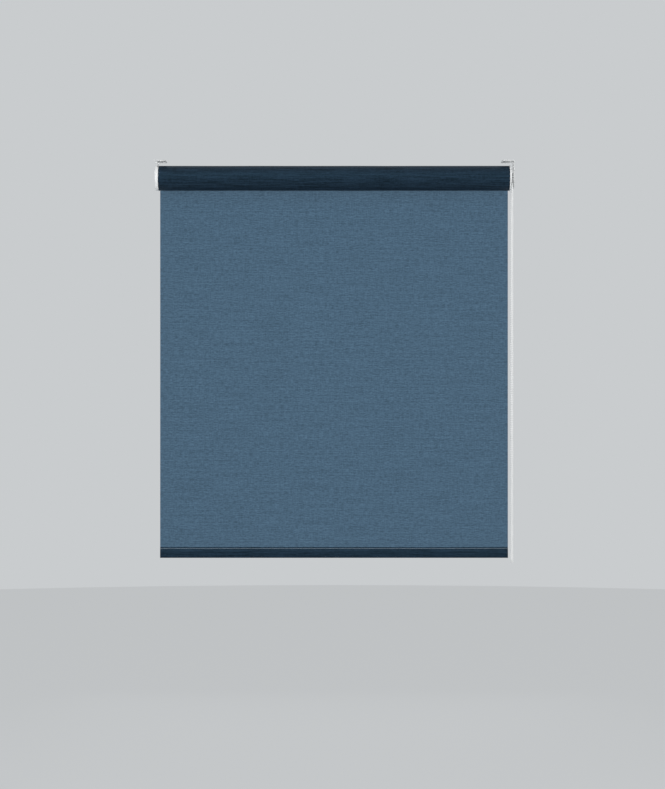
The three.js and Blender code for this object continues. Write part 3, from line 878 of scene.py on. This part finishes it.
# Cloth. A dim-out polyester: a plain weave of navy yarn with slubs, short thick places that run
# across the width, and a thin coating at the back. It is nearly opaque, so a single layer with
# daylight behind it glows a dusty blue, and the layers on the roll stay dark.
cloth_centre = (cloth_left + cloth_right) / 2
cloth_width = cloth_right - cloth_left
cloth_thickness = 0.0006
thread_spacing = 0.0005


# The UV map is the cloth laid flat, in metres: across, and along its length.
def map_cloth(piece, place):
    maps = piece.data.uv_layers
    layer = maps[0] if maps else maps.new(name="cloth")
    for polygon in piece.data.polygons:
        for corner in polygon.loop_indices:
            point = piece.data.vertices[piece.data.loops[corner].vertex_index].co
            layer.data[corner].uv = place(point, polygon)


# Threads are 0.5 mm apart and drawn so, which shows close to. From 5 m the eye gets the uneven yarn
# instead: threads in bunches 2 mm high and slubs up to 14 mm long, drawn about twice as coarse. lit is
# the colour of the daylight that comes through, and its share is 0 where there is none.
def slubbed_cloth(name, face, contrast, band_share, band_length, lit=None, lit_share=0):
    thread_depth = 0.0003
    slub_depth = 0.0004
    weave_share = 0.5
    cloth = bpy.data.materials.new(name)
    cloth.use_nodes = True
    tree = cloth.node_tree
    shader = tree.nodes["Principled BSDF"]
    across = add_node(tree, "ShaderNodeTexCoord").outputs["UV"]

    def streaks(length, height, detail):
        stretched = add_node(
            tree, "ShaderNodeMapping", inputs={"Vector": across, "Scale": (1 / length, 1 / height, 1)}
        )
        return add_node(
            tree,
            "ShaderNodeTexNoise",
            inputs={"Vector": stretched.outputs[0], "Scale": 1.0, "Detail": detail, "Roughness": 0.6},
        ).outputs["Fac"]

    slubs = streaks(length=0.0135, height=0.0025, detail=2)
    weft = streaks(length=0.0065, height=0.002, detail=1)
    warp = streaks(length=0.002, height=0.025, detail=1)
    bands = streaks(length=band_length, height=0.0045, detail=2)

    # The tone has all four. The relief has the threads only, which is all but the bands.
    pattern = slubs
    for share, more in ((0.4, weft), (0.2, warp), (band_share, bands)):
        threads = pattern
        pattern = add_node(
            tree, "ShaderNodeMix", {"data_type": "FLOAT"}, {0: share, 2: threads, 3: more}
        ).outputs[0]

    # A plain weave has each thread over one and under the next, so its crossings lie like a
    # chessboard. One wave is two threads, and Blender's wave is pi / 10 long at a scale of 1.
    def crossings(direction):
        wave = add_node(
            tree,
            "ShaderNodeTexWave",
            {"wave_type": "BANDS", "bands_direction": direction},
            {"Vector": across, "Scale": math.pi / 10 / (2 * thread_spacing)},
        )
        return add_node(
            tree,
            "ShaderNodeMapRange",
            inputs={"Value": wave.outputs["Fac"], "To Min": -0.5, "To Max": 0.5},
        ).outputs[0]

    over = add_node(
        tree, "ShaderNodeMath", {"operation": "MULTIPLY"}, {0: crossings("X"), 1: crossings("Y")}
    ).outputs[0]
    slub_level = add_node(
        tree,
        "ShaderNodeMapRange",
        inputs={"Value": pattern, "From Min": 0.4, "From Max": 0.6},
    ).outputs[0]
    level = add_node(
        tree, "ShaderNodeMath", {"operation": "MULTIPLY_ADD"}, {0: over, 1: weave_share, 2: slub_level}
    ).outputs[0]

    def toned(colour):
        rgb = linear(colour)[:3]
        dark = [v * (1 - contrast) for v in rgb] + [1]
        bright = [v * (1 + contrast) for v in rgb] + [1]
        mix = add_node(tree, "ShaderNodeMix", {"data_type": "RGBA"}, {0: level, 6: dark, 7: bright})
        return mix.outputs[2]

    tree.links.new(toned(face), shader.inputs["Base Color"])
    shader.inputs["Roughness"].default_value = 0.53
    shader.inputs["Specular IOR Level"].default_value = 0.33
    shader.inputs["Specular Tint"].default_value = linear("#96d5ff")
    fine = add_node(
        tree, "ShaderNodeBump", inputs={"Strength": 0.4, "Distance": thread_depth, "Height": over}
    )
    ridges = add_node(
        tree,
        "ShaderNodeBump",
        inputs={
            "Strength": 0.5,
            "Distance": slub_depth,
            "Height": threads,
            "Normal": fine.outputs[0],
        },
    )
    tree.links.new(ridges.outputs[0], shader.inputs["Normal"])
    if lit_share:
        glow = add_node(tree, "ShaderNodeBsdfTranslucent", inputs={"Color": toned(lit)})
        both = add_node(
            tree,
            "ShaderNodeMixShader",
            inputs={0: lit_share, 1: shader.outputs[0], 2: glow.outputs[0]},
        )
        tree.links.new(both.outputs[0], tree.nodes["Material Output"].inputs["Surface"])
    return cloth


def length_across(edge):
    return abs(edge.verts[0].co.x - edge.verts[1].co.x)


wound_cloth = slubbed_cloth(
    "navy dim-out cloth, wound", "#16222e", contrast=0.8, band_share=0.4, band_length=0.09
)
single_cloth = slubbed_cloth(
    "navy dim-out cloth, one layer",
    "#2a4052",
    contrast=0.3,
    band_share=0.2,
    band_length=0.11,
    lit="#51687b",
    lit_share=0.55,
)

# What is wound: about five layers that still lie on the tube. Wound cloth is never quite even,
# so its surface dips by up to a few tenths of a millimetre.
roll_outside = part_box("fabric_roll")[1].y
roll_inside = 0.0303
dip_depth = 0.00014
dip_swing = 1.6
dips_a_metre = 9
dips_round = 4
roll = disc(cloth_left, cloth_right, roll_outside, sides=112)
work_on(roll)
choose(roll, "faces", lambda f: abs(f.normal.x) > 0.9)
bpy.ops.mesh.inset(thickness=roll_outside - roll_inside)
bpy.ops.mesh.bridge_edge_loops()
choose(roll, "edges", lambda e: length_across(e) > cloth_width / 2)
bpy.ops.mesh.subdivide(number_cuts=70)
bpy.ops.object.mode_set(mode="OBJECT")
for vertex in roll.data.vertices:
    away = Vector((0, vertex.co.y, vertex.co.z - axis_z))
    if away.length > (roll_inside + roll_outside) / 2:
        around = away.normalized() * dips_round
        dip = noise.noise(Vector((vertex.co.x * dips_a_metre, around.y, around.z)))
        vertex.co -= away.normalized() * dip_depth * (1 + dip_swing * dip)


# The cloth's own length goes on from the back of the roll over its top and round to the back again.
def wound_length(point, middle):
    face_turn = math.atan2(middle.z - axis_z, middle.y) % (2 * math.pi)
    turn = math.atan2(point.z - axis_z, point.y)
    turn += 2 * math.pi * round((face_turn - turn) / (2 * math.pi))
    return axis_z + turn * roll_outside


map_cloth(roll, lambda p, f: (p.x, wound_length(p, f.center)))
tidy(roll, "cloth_on_roll")
bpy.ops.object.shade_smooth_by_angle(angle=math.radians(40))
finish_with(roll, wound_cloth)
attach(roll, "roller")
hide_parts("fabric_roll")

# What hangs: one layer, from the back of the roll down to the seam of the hem. Its top lies round
# the back of the roll. It hangs nearly flat, with a slow ripple and edges that curl a little.
hem_low, hem_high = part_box("hem_pocket")
hem_top = hem_high.z
panel_y = (hem_low.y + hem_high.y) / 2
hang = axis_z - hem_top
lip_turn = math.radians(64)
lip_sink = 0.0008
ripple_depth = 0.0011
curl_depth = 0.0009

# How much of the grid's height is the lip on the roll, and of its width each edge that curls.
lip_share = 0.06
curl_share = 0.03

# A broad ripple and a weaker, finer one: the strength, how many waves across and down, and the start.
ripples = ((1, 3.1, 1.2, 4), (0.35, 9, 2.5, 9))
bpy.ops.mesh.primitive_grid_add(x_subdivisions=140, y_subdivisions=170, size=1)
panel = bpy.context.object
for vertex in panel.data.vertices:
    across = vertex.co.x
    down = 0.5 - vertex.co.y
    x = cloth_centre + across * cloth_width
    if down < lip_share:
        turn = lip_turn * (1 - down / lip_share)
        radius = panel_y - lip_sink * turn
        vertex.co = Vector((x, radius * math.cos(turn), axis_z + radius * math.sin(turn)))
    else:
        share = (down - lip_share) / (1 - lip_share)
        free = math.sin(math.pi * share)
        ripple = sum(
            strength * noise.noise(Vector((across * wide, share * high, start)))
            for strength, wide, high, start in ripples
        )
        curl = max(0, abs(across) - 0.5 + curl_share) / curl_share
        y = panel_y + free * (ripple_depth * ripple + curl_depth * curl ** 2)
        vertex.co = Vector((x, y, axis_z - share * hang))
map_cloth(panel, lambda p, f: (p.x, p.z if p.z < axis_z else wound_length(p, f.center)))
tidy(panel, "hanging_cloth")
bpy.ops.object.shade_smooth()
finish_with(panel, single_cloth)
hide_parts("fabric_panel")
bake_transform(panel)


# Hem. The end of the cloth is turned back on itself, sewn along its top with polyester thread, and
# slipped over the weight bar, so it bellies out below the seam.
hem_bottom = hem_low.z
half_depth = (hem_high.y - hem_low.y) / 2

# Half of the pocket's section, from the seam down: how far out from the middle, and how high.
outline = [
    (0.00065, hem_top),
    (0.00065, hem_top - 0.0034),
    (0.00085, hem_top - 0.0046),
    (0.0016, hem_top - 0.0066),
    (half_depth - 0.0004, hem_top - 0.0088),
    (half_depth, hem_top - 0.0115),
    (half_depth, hem_bottom + 0.0022),
    (half_depth - 0.0005, hem_bottom + 0.0008),
    (half_depth - 0.0014, hem_bottom),
]

# A plane is cut back to one edge, as long as the cloth is wide. That edge is drawn along the section
# and back up the other side, and the strip is then divided into short lengths.
bpy.ops.mesh.primitive_plane_add(size=1)
hem = bpy.context.object
work_on(hem)
choose(hem, "edges", lambda e: all(v.co.y < 0 for v in e.verts))
bpy.ops.mesh.delete(type="EDGE")
choose(hem, "verts", lambda v: v.co.y < 0)
bpy.ops.mesh.delete(type="VERT")
bpy.ops.object.mode_set(mode="OBJECT")
ends = sorted(hem.data.vertices, key=lambda v: v.co.x)
ends[0].co = Vector((cloth_left, panel_y - outline[0][0], outline[0][1]))
ends[1].co = Vector((cloth_right, panel_y - outline[0][0], outline[0][1]))
work_on(hem)
bpy.ops.mesh.select_mode(type="EDGE")
bpy.ops.mesh.select_all(action="SELECT")
steps = [(-y, z) for y, z in outline] + [(y, z) for y, z in reversed(outline)]
for (y0, z0), (y1, z1) in zip(steps, steps[1:]):
    bpy.ops.mesh.extrude_edges_move(TRANSFORM_OT_translate={"value": (0, y1 - y0, z1 - z0)})
choose(hem, "edges", lambda e: length_across(e) > cloth_width / 2)
bpy.ops.mesh.subdivide(number_cuts=180)
bpy.ops.mesh.select_all(action="SELECT")
bpy.ops.mesh.normals_make_consistent(inside=False)
bpy.ops.object.mode_set(mode="OBJECT")

# Below the seam the cloth lies a little uneven over the bar.
uneven_from = hem_top - 0.0065
uneven_over = 0.004
uneven_depth = 0.00022
bumps_across = 30
bumps_down = 60
for vertex in hem.data.vertices:
    share = max(0.0, min(1.0, (uneven_from - vertex.co.z) / uneven_over))
    side = 1 if vertex.co.y > panel_y else -1
    lift = noise.noise(Vector((vertex.co.x * bumps_across, side * 3, vertex.co.z * bumps_down)))
    vertex.co.y += side * share * uneven_depth * lift
tidy(hem, "hem_pocket_cloth")
bpy.ops.object.modifier_add(type="SOLIDIFY")
hem.modifiers[-1].thickness = cloth_thickness
hem.modifiers[-1].offset = -1
bpy.ops.object.modifier_apply(modifier=hem.modifiers[-1].name)
back_face_shift = 0.3
map_cloth(hem, lambda p, f: (p.x, p.z + (back_face_shift if p.y > panel_y else 0)))
bpy.ops.object.shade_smooth_by_angle(angle=math.radians(50))
finish_with(hem, wound_cloth)
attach(hem, "hem")
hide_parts("hem_pocket")

# A stitch is a short length of thick thread, drawn in at both ends. There is one every 3 mm on each
# face, from one edge of the cloth to the other.
stitch_radius = 0.00045
stitch_length = 0.0024
stitch_tip = 0.0002
tip_reach = 1.18
stitch_pitch = 0.003
stitch_out = 0.00075
seam_z = hem_top - 0.0032
bpy.ops.mesh.primitive_cylinder_add(
    vertices=6,
    radius=stitch_radius,
    depth=stitch_length,
    location=(0, 0, 0),
    rotation=(0, math.radians(90), 0),
)
stitch = tidy(bpy.context.object, "stitch")
work_on(stitch)
choose(stitch, "faces", lambda f: abs(f.normal.x) > 0.9)
bpy.ops.mesh.inset(thickness=stitch_tip)
bpy.ops.transform.resize(value=(tip_reach, 1, 1), center_override=(0, 0, 0))
bpy.ops.object.mode_set(mode="OBJECT")
stitches = []
stitches_a_side = int(cloth_width / stitch_pitch)
for side in (-1, 1):
    for count in range(stitches_a_side):
        copy = stitch.copy()
        copy.data = stitch.data.copy()
        x = cloth_centre + (count - (stitches_a_side - 1) / 2) * stitch_pitch
        copy.matrix_world = Matrix.Translation((x, panel_y + side * stitch_out, seam_z))
        bpy.context.collection.objects.link(copy)
        stitches.append(copy)
bpy.data.objects.remove(stitch)
seam = join_pieces(stitches, "hem_seam_thread")
bpy.ops.object.shade_smooth()

# Polyester thread, spun, with a soft sheen. Its greyish blue, much paler than the cloth, is partly
# painted highlight: the pale stitches also stand for the light caught along the top of the pocket.
thread = bpy.data.materials.new("greyish blue thread with painted highlight")
thread.use_nodes = True
thread_tree = thread.node_tree
thread_shader = thread_tree.nodes["Principled BSDF"]
twist_length = 0.0007
twist = add_node(
    thread_tree,
    "ShaderNodeTexNoise",
    inputs={
        "Vector": add_node(thread_tree, "ShaderNodeTexCoord").outputs["Object"],
        "Scale": 1 / twist_length,
    },
)
# Both tones are pale enough to carry the painted highlight along the seam as well as the thread's own
# colour.
thread_tone_and_highlight = add_node(
    thread_tree,
    "ShaderNodeMix",
    {"data_type": "RGBA"},
    {0: twist.outputs["Fac"], 6: linear("#8799a9"), 7: linear("#9aabb9")},
)
thread_tree.links.new(thread_tone_and_highlight.outputs[2], thread_shader.inputs["Base Color"])
thread_shader.inputs["Roughness"].default_value = 0.55
thread_shader.inputs["Sheen Weight"].default_value = 0.2
finish_with(seam, thread)
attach(seam, "hem")


# Weight bar and its caps. A flat steel bar, zinc plated, fills the pocket and pulls the cloth straight.
# A dark nylon cap on each end keeps it from cutting the cloth.
dress("bottom_bar", zinc)
cap_wall = 0.0007
cap_depth = 0.0125
cap_rounding = 0.0005
for name, node, edge, out in (
    ("left_bar_cap", "bar_cap_left", cloth_left, -1),
    ("right_bar_cap", "bar_cap_right", cloth_right, 1),
):
    cap = block(*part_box(node))
    work_on(cap)
    choose(cap, "faces", lambda f: f.normal.x * out < -0.9)
    bpy.ops.mesh.inset(thickness=cap_wall)
    bpy.ops.mesh.extrude_region_move(TRANSFORM_OT_translate={"value": (out * cap_depth, 0, 0)})
    choose(cap, "edges", lambda e: length_across(e) > cap_depth + cap_wall or at_x(e, edge))
    bpy.ops.mesh.bevel(offset=cap_rounding, segments=3, affect="EDGES")
    bpy.ops.object.mode_set(mode="OBJECT")
    tidy(cap, name)
    bpy.ops.object.shade_smooth_by_angle(angle=math.radians(40))
    finish_with(cap, dark_nylon)
    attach(cap, "hem")
    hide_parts(node)
